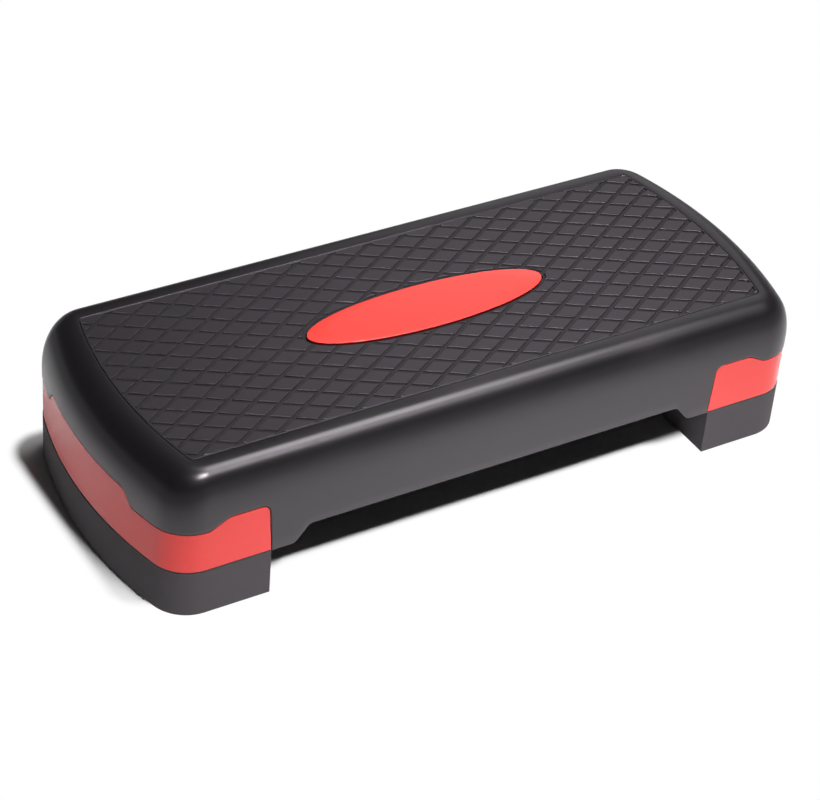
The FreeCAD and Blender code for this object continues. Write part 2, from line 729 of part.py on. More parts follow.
def make_left_riser():
    """A black block open below: walls, top plate with pegs, ribs and bosses that hold the rubber pads."""
    bottom = "pad_proud"
    outside = end_block("riser_block", "insert_inner", "0", bottom, "riser_top")
    bevel(outside, "riser_edge", outside.Tip, bottom, "edge_break")
    below = end_block("riser_below_plate", "insert_inner + wall", "wall", bottom + " - overrun",
                      RISER_PLATE_UNDER)
    shell = cut("riser_shell", outside, [below])
    room = end_block("riser_rib_room", "insert_inner + wall / 2", "wall / 2", bottom, RISER_PLATE_UNDER)
    ribs = end_ribs("riser_rib", "riser_rib_bottom", RISER_PLATE_UNDER)
    seats = []
    for label, x, y in PAD_PLACES:
        ribs.append(square_post("pad_boss_" + label, "pad_half + pad_gap + pad_boss_wall", "-" + x, y, bottom,
                                RISER_PLATE_UNDER))
        seats.append(square_post("pad_seat_" + label, "pad_half + pad_gap", "-" + x, y, bottom + " - overrun",
                                 "pad_thick"))
        seats.append(square_post("pad_core_" + label, "pad_half - pad_ledge", "-" + x, y, bottom,
                                 RISER_PLATE_UNDER))
    trimmed = shared("riser_ribs", [fuse("riser_grid", ribs), room])
    pieces = [shell, trimmed]
    for label, x, y in PEG_PLACES:
        pieces.append(make_peg(label, x, y))
    return cut("left_riser", fuse("riser_ribbed", pieces), seats)


def make_peg(label, x, y):
    """A square peg on the riser's plate, with its top edges bevelled to lead it in."""
    body = new_body("peg_" + label)
    sketch = sketch_on(body, "peg_outline_" + label, "XY_Plane", "riser_top - riser_plate / 2")
    rounded_polygon(sketch, [
        ("%s - peg_half" % x, "%s - peg_half" % y, None),
        ("%s + peg_half" % x, "%s - peg_half" % y, None),
        ("%s + peg_half" % x, "%s + peg_half" % y, None),
        ("%s - peg_half" % x, "%s + peg_half" % y, None),
    ])
    stem = pad(body, "peg_stem_" + label, sketch, "peg_height + riser_plate / 2")
    bevel(body, "peg_lead_" + label, stem, "riser_top + peg_height", "peg_point")
    return body


def make_rubber_pad(name, x, y):
    """A square rubber foot with cut corners and a bevelled sole."""
    body = new_body(name)
    sketch = sketch_on(body, name + "_outline", "XY_Plane")
    corners = []
    for along, across in (("-", "-"), ("", "-"), ("", ""), ("-", "")):
        near_side = (along + "pad_half", across + "(pad_half - pad_cut_corner)", None)
        near_end = (along + "(pad_half - pad_cut_corner)", across + "pad_half", None)
        corners += [near_side, near_end] if along == across else [near_end, near_side]
    rounded_polygon(sketch, corners)
    foot = pad(body, name + "_foot", sketch, "pad_thick")
    bevel(body, name + "_sole", foot, "0", "pad_edge")
    return bind(body, Placement__Base__x=x, Placement__Base__y=y)


def make_rubber_pads():
    pads = []
    for side, sign in (("left", "-"), ("right", "")):
        for label, x, y in PAD_PLACES:
            pads.append(make_rubber_pad("%s_pad_%s" % (side, label), sign + x, y))
    return pads


# The platform


def make_platform():
    left_insert = make_left_insert()
    left_screws = make_left_screws()
    left_riser = make_left_riser()
    pieces = [make_deck(), make_tread_mat(), make_badge()]
    pieces += [left_insert, mirror("right_end_insert", left_insert)]
    pieces += [left_screws, mirror("right_insert_screws", left_screws)]
    pieces += [left_riser, mirror("right_riser", left_riser)]
    return pieces + make_rubber_pads()


def check_and_write(pieces):
    doc.recompute()
    for item in doc.Objects:
        if "Invalid" in item.State or "Error" in item.State:
            raise RuntimeError("%s did not build: %s" % (item.Name, item.State))
    os.makedirs("parts", exist_ok=True)
    for piece in pieces:
        piece.Label = piece.Name
        if piece.Shape.isNull() or not piece.Shape.isValid() or piece.Shape.Volume <= 0:
            raise RuntimeError("%s has no valid solid" % piece.Label)
    for piece in pieces:
        piece.Shape.exportStep("parts/%s.step" % piece.Label)
        print(piece.Label, len(piece.Shape.Solids), "solids", round(piece.Shape.Volume), "mm3")


check_and_write(make_platform())
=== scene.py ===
import bmesh
import bpy
import math
from mathutils import Matrix, Vector


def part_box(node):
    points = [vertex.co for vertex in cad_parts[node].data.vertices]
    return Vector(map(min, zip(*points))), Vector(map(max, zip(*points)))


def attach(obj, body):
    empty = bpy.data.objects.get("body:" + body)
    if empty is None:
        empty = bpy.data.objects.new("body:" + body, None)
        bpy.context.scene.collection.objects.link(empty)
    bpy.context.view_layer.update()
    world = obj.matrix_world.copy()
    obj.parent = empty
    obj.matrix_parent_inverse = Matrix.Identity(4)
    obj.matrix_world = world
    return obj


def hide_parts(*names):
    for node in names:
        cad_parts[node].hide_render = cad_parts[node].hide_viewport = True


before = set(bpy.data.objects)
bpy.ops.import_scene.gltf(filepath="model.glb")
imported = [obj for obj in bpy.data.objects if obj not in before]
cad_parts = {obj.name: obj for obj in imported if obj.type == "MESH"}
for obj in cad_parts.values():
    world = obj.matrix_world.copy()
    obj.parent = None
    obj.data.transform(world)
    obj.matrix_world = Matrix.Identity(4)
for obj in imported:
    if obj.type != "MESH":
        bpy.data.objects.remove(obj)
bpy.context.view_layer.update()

# Aerobic step platform: crowned black deck, diamond tread, red oval and end inserts, lift-off risers.
# Metres. X runs along the length, Y across it with the front at -Y, Z up from the floor.

MM = 0.001

# The two ends, and which way along the length each of them lies
SIDE_SIGNS = {"left": -1, "right": 1}

# Feet and screws stand in rows of two across the width
PAIR = 2

# Plan outline that the deck, the inserts and the risers share
HALF_LENGTH = 341.0 * MM
HALF_WIDTH = 140.6 * MM
END_RADIUS = 428.0 * MM
CORNER_RADIUS = 37.0 * MM
WALL = 3.2 * MM
SEAM = 0.6 * MM

# Deck walls and crown
LUG_BOTTOM = 47.4 * MM
SKIRT_EDGE = 64.2 * MM
SKIRT_SLOPE_IN = 191.0 * MM
SKIRT_SLOPE_OUT = 205.0 * MM
SKIRT_ROUND = 8.0 * MM
CROWN_BASE = 98.0 * MM
RIM_TOP = 145.6 * MM
CROWN_END_RUN = 30.5 * MM
CROWN_SIDE_RUN = 21.5 * MM
RIM_CORNER = 12.0 * MM
RIM_ROUND = 0.5 * MM
END_CROWN_POWER = 2.15
SIDE_CROWN_POWER = 2.6
CROWN_ROWS = 22
WALL_ROWS = 5
EDGE_ROUND = 1.3 * MM
EDGE_STEPS = 3
TOP_PLATE = 3.2 * MM

# Openings in the deck's ends, and the inserts that fill them
INSERT_INNER = 228.0 * MM
INSERT_LEAN = 3.0 * MM
INSERT_CORNER = 8.0 * MM
INSERT_LOW = 88.6 * MM
INSERT_TALL = 98.2 * MM
INSERT_STEP_START = 268.0 * MM
INSERT_STEP_END = 286.0 * MM
INSERT_STEP_ROUND = 9.0 * MM
INSERT_END_TALL = 102.0 * MM
INSERT_END_STEP_IN = 72.0 * MM
INSERT_END_STEP_OUT = 83.0 * MM
INSERT_END_STEP_ROUND = 6.0 * MM
INSERT_BOTTOM = 47.8 * MM

# Ribs under the deck
RIB = 2.4 * MM
RIB_BOTTOM = 104.0 * MM
RIB_ROOT = 0.5 * MM
LONG_RIB_PLACE = 69.5 * MM
LONG_RIBS = 3
CROSS_RIB_PITCH = 56.0 * MM
CROSS_RIBS = 7
BULKHEAD_MIDDLE = INSERT_INNER - SEAM - WALL / 2

# Tread mat
TREAD_HALF_LENGTH = 304.6 * MM
TREAD_HALF_WIDTH = 111.0 * MM
TREAD_END_RADIUS = 460.0 * MM
TREAD_CORNER = 5.0 * MM
MAT_GAP = 0.5 * MM
MAT_BOTTOM = 143.2 * MM
PLATE_UNDER = MAT_BOTTOM - TOP_PLATE
MAT_TOP = 146.0 * MM
GROOVE_DEPTH = 1.5 * MM
DIAMOND_LONG = 37.7 * MM
DIAMOND_CROSS = 22.7 * MM
PAD_TOP_SHARE = 0.75
PAD_SHOULDER_SHARE = 0.81
PAD_FOOT_SHARE = 0.85
PAD_SHOULDER_DROP = 0.5 * MM
PAD_RIM_DROP = 0.05 * MM
PAD_SINK = 0.4 * MM
MAT_EDGE_ROUND = 0.6 * MM
MAT_EDGE_BEVEL = 0.7 * MM
BEAD_WIDTH = 1.6 * MM
BEAD_DROP = 0.1 * MM
TRIM_REACH = 2.5 * MM
OVAL_RIM = 3.2 * MM

# Oval badge
BADGE_HALF_LENGTH = 122.4 * MM
BADGE_HALF_WIDTH = 32.3 * MM
BADGE_GAP = 1.0 * MM
BADGE_TOP = 146.6 * MM
BADGE_DRAWN_IN = 0.7 * MM
BADGE_EDGE_ROUND = 0.5 * MM
BADGE_DOME = 0.5 * MM
OVAL_STEPS = 160

# How finely the rounded forms are divided
HALF_TURN_STRETCHES = 4
CORNER_STEPS = 14
FILLET_STEPS = 6
LONGEST_STEP = 9.0 * MM
RIB_PROFILE_STEPS = 8
FIRST_CROWN_ANGLE = math.radians(12)
SHARP_ANGLE = math.radians(32)
DECK_SHARP_ANGLE = math.radians(50)

# Middles of the bowed ends and the round corners, and where the straight sides and the bows stop
END_MIDDLE = HALF_LENGTH - END_RADIUS
CORNER_MIDDLE = HALF_WIDTH - CORNER_RADIUS
END_ARC_RUN = math.sqrt((END_RADIUS - CORNER_RADIUS) ** 2 - CORNER_MIDDLE ** 2)
END_ARC_TILT = math.atan2(CORNER_MIDDLE, END_ARC_RUN)
FRONT_LINE_END = END_MIDDLE + END_ARC_RUN
END_ARC_REACH = END_RADIUS * math.sin(END_ARC_TILT)

# How the mat's and the badge's forms are divided
SHEET_STEPS = (80, 8, 60, 8)
PAD_COLUMNS = 17
PAD_ROWS = 11
DOME_STEPS = 5

# Copies of the inserts and risers
OUTER_WALL_REACH = 1.2 * MM
WELD_REACH = 0.005 * MM
FLAT_ANGLE = math.radians(0.4)
INSERT_EDGE_ROUND = 0.4 * MM
RISER_EDGE_ROUND = 0.6 * MM
WALL_LIKENESS = math.cos(math.radians(15))
BEVEL_PROFILE_SHARE = 0.5

# Rubber feet: each ring's size and height as shares of the foot's
FOOT_HALF = 12.0 * MM
FOOT_CUT_CORNER = 4.0 * MM
FOOT_THICK = 4.0 * MM
FOOT_INNER_X = 245.0 * MM
FOOT_INNER_Y = 123.0 * MM
FOOT_OUTER_X = 308.0 * MM
FOOT_OUTER_Y = 84.0 * MM
FOOT_RING_SHARES = ((0.5, 0.15), (0.56, 0.15), (0.62, 0.0), (0.92, 0.0), (0.98, 0.06), (1.0, 0.2),
                    (1.0, 1.0))

# Screws: each ring's radius and its height above the lowest point, from the recess in the head to the tip
SCREW_X = 256.0 * MM
SCREW_Y = 56.0 * MM
SCREW_SIDES = 16
SCREW_RINGS = ((0.6 * MM, 1.2 * MM), (1.6 * MM, 0.0), (3.0 * MM, 0.25 * MM), (4.2 * MM, 1.1 * MM),
               (4.6 * MM, 2.3 * MM), (4.6 * MM, 2.6 * MM), (2.0 * MM, 2.6 * MM), (2.0 * MM, 17.0 * MM),
               (0.4 * MM, 20.0 * MM))

# Colours of the finishes: linear red, green, blue and alpha
DECK_BLACK = (0.008, 0.0066, 0.008, 1)
DECK_DUSTY = (0.017, 0.014, 0.017, 1)
RISER_GREY = (0.080, 0.072, 0.078, 1)
RISER_DUSTY = (0.105, 0.096, 0.103, 1)
INSERT_RED = (0.88, 0.052, 0.042, 1)
INSERT_DUSTY = (0.876, 0.055, 0.045, 1)
RED_PAINTED_SHADE = (0.07, 0.008, 0.007, 1)
RUBBER_DARK = (0.018, 0.015, 0.018, 1)
RUBBER_PALE = (0.027, 0.0225, 0.027, 1)
# The grooves' colour is painted shade, darker than the rubber itself
GROOVE_PAINTED_SHADE = (0.009, 0.008, 0.009, 1)
FOOT_DARK = (0.015, 0.015, 0.015, 1)
FOOT_PALE = (0.03, 0.03, 0.03, 1)
STEEL_DARK = (0.42, 0.42, 0.44, 1)
STEEL_PALE = (0.62, 0.62, 0.63, 1)
PLASTIC_SHEEN = (1.0, 0.93, 1.0, 1)
RUBBER_SHEEN = (1.0, 0.9, 1.0, 1)

# Plastics: roughness, shine, strength of the grain and how much the gloss drifts
DECK_SURFACE = (0.33, 0.75, 0.3, 1.0)
RISER_SURFACE = (0.75, 0.2, 0.4, 1.0)
RED_SURFACE = (0.27, 0.5, 0.12, 0.0)
GRAIN_DEPTH = 0.05 * MM
STREAK_FADE = (0.45, 0.85)
DRIFT_FADE = (0.4, 0.75)
RUBBED_TONE_SHARE = 0.35
MOTTLE_TONE_SHARE = 0.15
DRIFT_ROUGHNESS = 0.06
RUBBED_ROUGHNESS = 0.04
MEAN_ROUGHNESS = 0.03

# Painted shade in the red's gaps: its colour, and the heights where it is full and where it is gone
BADGE_SHADE_DROP = 0.7 * MM
BADGE_SHADE_RISE = 0.05 * MM
INSERT_SHADE_FULL = 0.5 * MM
INSERT_SHADE_GONE = 1.3 * MM
BADGE_PAINTED_SHADE = (RED_PAINTED_SHADE, MAT_TOP - BADGE_SHADE_DROP, MAT_TOP + BADGE_SHADE_RISE)
INSERT_PAINTED_SHADE = (RED_PAINTED_SHADE, INSERT_BOTTOM + INSERT_SHADE_FULL, INSERT_BOTTOM + INSERT_SHADE_GONE)

# Rubber and steel
PORE_DEPTH = 0.06 * MM
DRIFT_TONE_SHARE = 0.5
FIBRE_TONE_SHARE = 0.5
GROOVE_ROUGHNESS = 0.75
PAD_POLISH = 0.35
PORE_ROUGHNESS = 0.08
PORE_STRENGTH = 0.5
FOOT_ROUGHNESS = 0.8
FOOT_PORE_ROUGHNESS = 0.1
FOOT_PORE_STRENGTH = 0.4
STEEL_ROUGHNESS = 0.3
PLATING_ROUGHNESS = 0.15
PLATING_STRENGTH = 0.2
STEEL_METALLIC = 1.0

# Noise patterns: scale and detail
GRAIN_NOISE = (1300.0, 3.0)
DRIFT_NOISE = (11.0, 0.0)
STREAK_NOISE = (14.0, 0.0)
MOTTLE_NOISE = (60.0, 1.0)
PORE_NOISE = (1700.0, 2.0)
RUBBER_DRIFT_NOISE = (11.0, 4.0)
FIBRE_NOISE = (480.0, 2.0)
PLATING_NOISE = (600.0, 3.0)
STREAK_STRETCH = (1.0, 4.0, 4.0)
FIBRE_STRETCH = (1.0, 0.2, 1.0)

# Floor, in metres: the rounded box where it shows the shadow, and how far off mirrors see it plain white
FLOOR_HALF = 12.0
FLOOR_COLOUR = (0.92, 0.92, 0.92, 1)
FLOOR_WHITE = (1, 1, 1, 1)
SHADOW_CENTRE = (0.0, 0.021, 0.0)
SHADOW_HALF = (0.318, 0.097, 1.0)
SHADOW_ROUND = 0.025
SHADOW_FADE = 0.014
MIRRORED_START = 3.0
MIRRORED_END = 8.0

# Where a Mix node keeps its factor, its two colours and its mixed colour
MIX_FACTOR = 0
MIX_FIRST = 6
MIX_SECOND = 7
MIX_RESULT = 2

# Studio air, and how high over the horizon the white sweep is full and where it ends
STUDIO_AIR = (0.03, 0.03, 0.031, 1)
SWEEP_FULL = math.sin(math.radians(0.5))
SWEEP_TOP = math.sin(math.radians(4))
PLAIN_STRENGTH = 1.0

# Lamps: place, aim and size in metres, spread of the beam in degrees and power in watts
LAMPS = (
    ("front_key", (0.3, -1.72, 3.05), (0.04, 0.04, 0.0), (0.95, 0.28), 24.0, 3.6),
    ("overhead_softbox", (0.5, 0.09, 1.6), (0.05, 0.09, 0.1), (0.98, 0.6), 100.0, 5.6),
    ("back_fill", (1.15, 1.25, 0.8), (0.1, 0, 0.1), (0.9, 0.9), 90.0, 0.45),
)

# Camera at the photo's view, in metres, with the lens and the sensor in millimetres
LENS = 115.69
SENSOR_WIDTH = 36.0
CAMERA_PLACE = (-1.0743, -1.6308, 1.4983)
CAMERA_RIGHT = (0.86206, -0.50220, 0.06819)
CAMERA_UP = (0.25499, 0.54607, 0.79799)
CAMERA_BACK = (-0.43799, -0.67053, 0.59880)


# Plan outlines: a front line, three arcs of the right end, a back line, three arcs of the left end


def outline_point(length, width, bow, corner, place):
    """A point of the plan outline; place is the stretch's number and the share of the way along it."""
    stretch, along_share = place
    run = math.sqrt((bow - corner) ** 2 - (width - corner) ** 2)
    corner_x = length - bow + run
    tilt = math.atan2(width - corner, run)
    quarter = math.pi / 2
    half_turn, part = divmod(stretch, HALF_TURN_STRETCHES)
    if part == 0:
        x, y = corner_x * (2 * along_share - 1), -width
    elif part == 1:
        angle = -quarter + (quarter - tilt) * along_share
        x, y = corner_x + corner * math.cos(angle), -(width - corner) + corner * math.sin(angle)
    elif part == 2:
        angle = tilt * (2 * along_share - 1)
        x, y = length - bow + bow * math.cos(angle), bow * math.sin(angle)
    else:
        angle = tilt + (quarter - tilt) * along_share
        x, y = corner_x + corner * math.cos(angle), width - corner + corner * math.sin(angle)
    return (-x, -y) if half_turn else (x, y)


def plan_outline(length, width, bow, corner, places):
    """The points of a plan outline at these places."""
    return [outline_point(length, width, bow, corner, place) for place in places]


def platform_outline(inset, places):
    """The platform's plan outline, drawn in by inset."""
    return plan_outline(HALF_LENGTH - inset, HALF_WIDTH - inset, END_RADIUS - inset, CORNER_RADIUS - inset,
                        places)


def tread_outline(grow, places):
    """The tread's plan outline, grown by a gap all round."""
    return plan_outline(TREAD_HALF_LENGTH + grow, TREAD_HALF_WIDTH + grow, TREAD_END_RADIUS + grow,
                        TREAD_CORNER + grow, places)


def even_places(steps):
    """Places round a plan outline with these steps on each of its four kinds of stretch."""
    places = []
    for stretch in range(2 * len(steps)):
        count = steps[stretch % len(steps)]
        places += [(stretch, number / count) for number in range(count)]
    return places


def rounded_path(corners):
    """A line through the corners, each rounded by its radius, with no straight step over the longest."""
    path = [Vector(corners[0][:2])]
    for before, corner, after in zip(corners, corners[1:], corners[2:]):
        middle, radius = Vector(corner[:2]), corner[2]
        toward = (Vector(before[:2]) - middle).normalized()
        away = (Vector(after[:2]) - middle).normalized()
        half_angle = toward.angle(away) / 2
        if radius == 0:
            path.append(middle)
            continue
        centre = middle + (toward + away).normalized() * radius / math.sin(half_angle)
        reach = radius / math.tan(half_angle)
        start = middle + toward * reach - centre
        turn = start.angle_signed(middle + away * reach - centre)
        for number in range(FILLET_STEPS + 1):
            path.append(centre + Matrix.Rotation(-turn * number / FILLET_STEPS, 2) @ start)
    path.append(Vector(corners[-1][:2]))
    divided = [path[0]]
    for start, end in zip(path, path[1:]):
        pieces = max(1, math.ceil((end - start).length / LONGEST_STEP))
        divided += [start.lerp(end, number / pieces) for number in range(1, pieces + 1)]
    return divided


# Mesh helpers


def finished_object(name, mesh):
    """An object of the mesh, put in the scene."""
    piece = bpy.data.objects.new(name, mesh)
    bpy.context.scene.collection.objects.link(piece)
    return piece


def shade(form, sharp_angle):
    """Smooth faces, with a crease wherever two of them meet at more than the angle."""
    for face in form.faces:
        face.smooth = True
    for edge in form.edges:
        edge.smooth = len(edge.link_faces) == 2 and edge.calc_face_angle() < sharp_angle


def add_rings(form, rings, closed=False):
    """Faces between rings of points: capped at both ends, or closed on itself like a hoop."""
    loops = [[form.verts.new(point) for point in ring] for ring in rings]
    if closed:
        loops.append(loops[0])
    else:
        form.faces.new(loops[0])
        form.faces.new(loops[-1])
    for lower, upper in zip(loops, loops[1:]):
        for number in range(len(lower)):
            after = (number + 1) % len(lower)
            form.faces.new((lower[number], lower[after], upper[after], upper[number]))


def ringed_mesh(name, rings, closed=False, sharp_angle=SHARP_ANGLE):
    """A mesh of rings of points, with its faces outward and its creases set."""
    form = bmesh.new()
    add_rings(form, rings, closed)
    bmesh.ops.recalc_face_normals(form, faces=form.faces)
    shade(form, sharp_angle)
    return saved_mesh(name, form)


def saved_mesh(name, form):
    """The form as a mesh; the form itself is used up."""
    mesh = bpy.data.meshes.new(name)
    form.to_mesh(mesh)
    form.free()
    return mesh


def creased(mesh):
    """The mesh with its creases set anew."""
    form = bmesh.new()
    form.from_mesh(mesh)
    shade(form, SHARP_ANGLE)
    return saved_mesh(mesh.name, form)


def plain_mesh(piece):
    """The mesh that a piece's modifiers give; the piece itself is used up."""
    depsgraph = bpy.context.evaluated_depsgraph_get()
    mesh = bpy.data.meshes.new_from_object(piece.evaluated_get(depsgraph), depsgraph=depsgraph)
    piece.modifiers.clear()
    bpy.data.objects.remove(piece)
    return mesh


def at_height(points, height):
    """Points of a plan, raised to a height."""
    return [(x, y, height) for x, y in points]


def quarter_round(radius):
    """Steps round a quarter turn: how far each one has come in, and how far it still has to rise."""
    steps = []
    for step in range(EDGE_STEPS + 1):
        angle = math.pi / 2 * step / EDGE_STEPS
        steps.append((radius * (1 - math.cos(angle)), radius * (1 - math.sin(angle))))
    return steps


def joined(name, meshes):
    """One mesh of several, each kept closed in itself."""
    form = bmesh.new()
    for mesh in meshes:
        form.from_mesh(mesh)
    return saved_mesh(name, form)


# Deck


def crown_share(angle, power):
    """How far the crown has come in at that angle of its turn, as a share of its run."""
    climb = math.sin(angle)
    return 1 - (1 - min(1.0, climb ** power)) ** (1 / power)


def crown_outline(angle, inset, places):
    """The deck's plan outline at that angle of the crown's turn, drawn in by inset."""
    end_run = CROWN_END_RUN * crown_share(angle, END_CROWN_POWER) + inset
    side_share = crown_share(angle, SIDE_CROWN_POWER)
    corner = CORNER_RADIUS - (CORNER_RADIUS - RIM_CORNER) * side_share
    return plan_outline(HALF_LENGTH - end_run, HALF_WIDTH - CROWN_SIDE_RUN * side_share - inset,
                        END_RADIUS - end_run, corner - inset, places)


def crown_angle(height, top):
    """The angle of the crown's turn that lies at a height, for a crown that reaches the top."""
    return math.asin(min(1.0, max(0.0, (height - CROWN_BASE) / (top - CROWN_BASE))))


def front_edge():
    """The deck's lower edge along its front, seen from the front: skirt, lugs and the ends' openings."""
    half = [
        (INSERT_INNER - SEAM, LUG_BOTTOM, 0),
        (INSERT_INNER + INSERT_LEAN - SEAM, INSERT_TALL + SEAM, INSERT_CORNER + SEAM),
        (INSERT_STEP_START, INSERT_TALL + SEAM, INSERT_STEP_ROUND),
        (INSERT_STEP_END, INSERT_LOW + SEAM, INSERT_STEP_ROUND),
    ]
    skirt = [(SKIRT_SLOPE_IN, SKIRT_EDGE, SKIRT_ROUND), (SKIRT_SLOPE_OUT, LUG_BOTTOM, SKIRT_ROUND)]
    right = skirt + half + [(FRONT_LINE_END, INSERT_LOW + SEAM, 0)]
    left = [(-x, height, radius) for x, height, radius in reversed(right)]
    return rounded_path(left + right)


def end_edge():
    """The deck's lower edge along a bowed end, seen from the end."""
    low, tall = INSERT_LOW + SEAM, INSERT_END_TALL + SEAM
    back = [
        (INSERT_END_STEP_IN, tall, INSERT_END_STEP_ROUND),
        (INSERT_END_STEP_OUT, low, INSERT_END_STEP_ROUND),
        (END_ARC_REACH, low, 0),
    ]
    front = [(-y, height, radius) for y, height, radius in reversed(back)]
    return rounded_path(front + back)


def lower_edge():
    """Places round the outline and the height of the deck's lower edge at each of them."""
    front = [((x / FRONT_LINE_END + 1) / 2, height) for x, height in front_edge()[:-1]]
    corner = [(number / CORNER_STEPS, INSERT_LOW + SEAM) for number in range(CORNER_STEPS)]
    end = [((math.asin(y / END_RADIUS) / END_ARC_TILT + 1) / 2, height) for y, height in end_edge()[:-1]]
    places, heights = [], []
    for half_turn in (0, 1):
        for part, steps in enumerate((front, corner, end, corner)):
            for along_share, height in steps:
                places.append((HALF_TURN_STRETCHES * half_turn + part, along_share))
                heights.append(height)
    return places, heights


def edge_leans(places, heights):
    """For each place, the step along the wall and the step up that lead square away from the lower edge."""
    points = platform_outline(0, places)
    count = len(points)
    leans = []
    for number in range(count):
        before, after = Vector(points[number - 1]), Vector(points[(number + 1) % count])
        along = after - before
        rise = heights[(number + 1) % count] - heights[number - 1]
        length = math.hypot(along.length, rise)
        leans.append((along.normalized() * (-rise / length), along.length / length))
    return leans


def deck_rows(places, heights):
    """The deck's skin as rings: out of the mat's recess, down the outside, round the lower edge and up the
    inside."""
    leans = edge_leans(places, heights)

    def edge_ring(depth, lift):
        """The lower edge, drawn in and lifted square away from itself."""
        points = platform_outline(depth, places)
        return [(x + lean.x * lift, y + lean.y * lift, height + up * lift)
                for (x, y), (lean, up), height in zip(points, leans, heights)]

    def wall_ring(row, depth, top):
        """One of the rings that lead from the lower edge up to the crown's first ring."""
        climb_share = row / WALL_ROWS
        foot = edge_ring(depth, EDGE_ROUND)
        crest = CROWN_BASE + (top - CROWN_BASE) * math.sin(FIRST_CROWN_ANGLE)
        ring = []
        for place, (_, _, height), (lean, _) in zip(places, foot, leans):
            level = height + (crest - height) * climb_share
            plan = crown_outline(crown_angle(level, top), depth, [place])[0]
            slide = EDGE_ROUND * (1 - climb_share)
            ring.append((plan[0] + lean.x * slide, plan[1] + lean.y * slide, level))
        return ring

    def crown_ring(row, depth, top):
        """One of the rings round the crown's turn."""
        angle = FIRST_CROWN_ANGLE + (math.pi / 2 - FIRST_CROWN_ANGLE) * row / CROWN_ROWS
        level = CROWN_BASE + (top - CROWN_BASE) * math.sin(angle)
        return at_height(crown_outline(angle, depth, places), level)

    rings = [at_height(tread_outline(MAT_GAP, places), MAT_BOTTOM)]
    for come_in, rise in quarter_round(RIM_ROUND):
        rings.append(at_height(tread_outline(MAT_GAP + come_in, places), RIM_TOP - rise))
    rings += [crown_ring(row, 0, RIM_TOP) for row in range(CROWN_ROWS, -1, -1)]
    rings += [wall_ring(row, 0, RIM_TOP) for row in range(WALL_ROWS - 1, 0, -1)]
    rings += [edge_ring(come_in, rise) for come_in, rise in quarter_round(EDGE_ROUND)]
    rings += [edge_ring(WALL - rise, come_in) for come_in, rise in quarter_round(EDGE_ROUND)]
    rings += [wall_ring(row, WALL, PLATE_UNDER) for row in range(1, WALL_ROWS)]
    rings += [crown_ring(row, WALL, PLATE_UNDER) for row in range(CROWN_ROWS + 1)]
    return rings


def rib_profile(bottom):
    """A rib across the deck, seen from the end: it follows the inside of the walls and the crown."""
    half = [(HALF_WIDTH - WALL + RIB_ROOT, bottom)]
    for step in range(RIB_PROFILE_STEPS + 1):
        angle = math.pi / 2 * step / RIB_PROFILE_STEPS
        reach = HALF_WIDTH - CROWN_SIDE_RUN * crown_share(angle, SIDE_CROWN_POWER) - WALL + RIB_ROOT
        height = CROWN_BASE + (PLATE_UNDER + RIB_ROOT - CROWN_BASE) * math.sin(angle)
        if height > bottom:
            half.append((reach, height))
    return half + [(-y, height) for y, height in reversed(half)]


def cross_plate(name, middle, thick, bottom):
    """An upright plate across the deck at a place along it."""
    profile = rib_profile(bottom)
    return ringed_mesh(name, [[(x, y, height) for y, height in profile]
                              for x in (middle - thick / 2, middle + thick / 2)])


def long_plate(name, place):
    """An upright rib along the deck, between the two bulkheads."""
    reach, top = BULKHEAD_MIDDLE, PLATE_UNDER + RIB_ROOT
    corners = ((-reach, RIB_BOTTOM), (reach, RIB_BOTTOM), (reach, top), (-reach, top))
    return ringed_mesh(name, [[(x, y, height) for x, height in corners]
                              for y in (place - RIB / 2, place + RIB / 2)])


def make_deck(finish):
    """The deck's skin, with bulkheads and ribs under its top."""
    skin = ringed_mesh("deck_skin", deck_rows(*lower_edge()), sharp_angle=DECK_SHARP_ANGLE)
    plates = []
    for side, sign in SIDE_SIGNS.items():
        plates.append(cross_plate(side + "_bulkhead", sign * BULKHEAD_MIDDLE, WALL, LUG_BOTTOM + EDGE_ROUND))
    for number in range(LONG_RIBS):
        plates.append(long_plate("long_rib_%d" % number, LONG_RIB_PLACE * (number - (LONG_RIBS - 1) / 2)))
    rib = finished_object("cross_rib_form", cross_plate("cross_rib", 0, RIB, RIB_BOTTOM))
    first = -CROSS_RIB_PITCH * (CROSS_RIBS - 1) / 2
    ribs = row_of_forms("cross_ribs", rib, CROSS_RIBS, (first, 0, 0), (CROSS_RIB_PITCH, 0, 0), finish)
    deck = finished_object("deck_moulding", joined("deck_moulding", [skin] + plates + [ribs]))
    dress(deck, finish, "platform", "deck_plastic", "deck")


# Node trees


class Wire:
    """A socket of a node tree, with arithmetic that adds Math nodes."""

    def __init__(self, graph, socket):
        self.graph = graph
        self.socket = socket

    def math(self, operation, *values):
        return self.graph.node("ShaderNodeMath", {"operation": operation}, dict(enumerate(values)))

    def __add__(self, other):
        return self.math("ADD", self, other)

    def __sub__(self, other):
        return self.math("SUBTRACT", self, other)

    def __rsub__(self, other):
        return self.math("SUBTRACT", other, self)

    def __mul__(self, other):
        return self.math("MULTIPLY", self, other)

    __radd__ = __add__
    __rmul__ = __mul__


class Graph:
    """A node tree that is built by naming each node's type, its settings and its sockets."""

    def __init__(self, tree):
        self.tree = tree

    def node(self, kind, settings=None, sockets=None, output=0):
        """Adds a node and gives its output; a list of values goes to one socket that takes several."""
        made = self.tree.nodes.new(kind)
        for name, setting in (settings or {}).items():
            setattr(made, name, setting)
        for name, value in (sockets or {}).items():
            for each in value if isinstance(value, list) else [value]:
                if isinstance(each, Wire):
                    self.tree.links.new(each.socket, made.inputs[name])
                else:
                    made.inputs[name].default_value = each
        return Wire(self, made.outputs[output]) if made.outputs else made


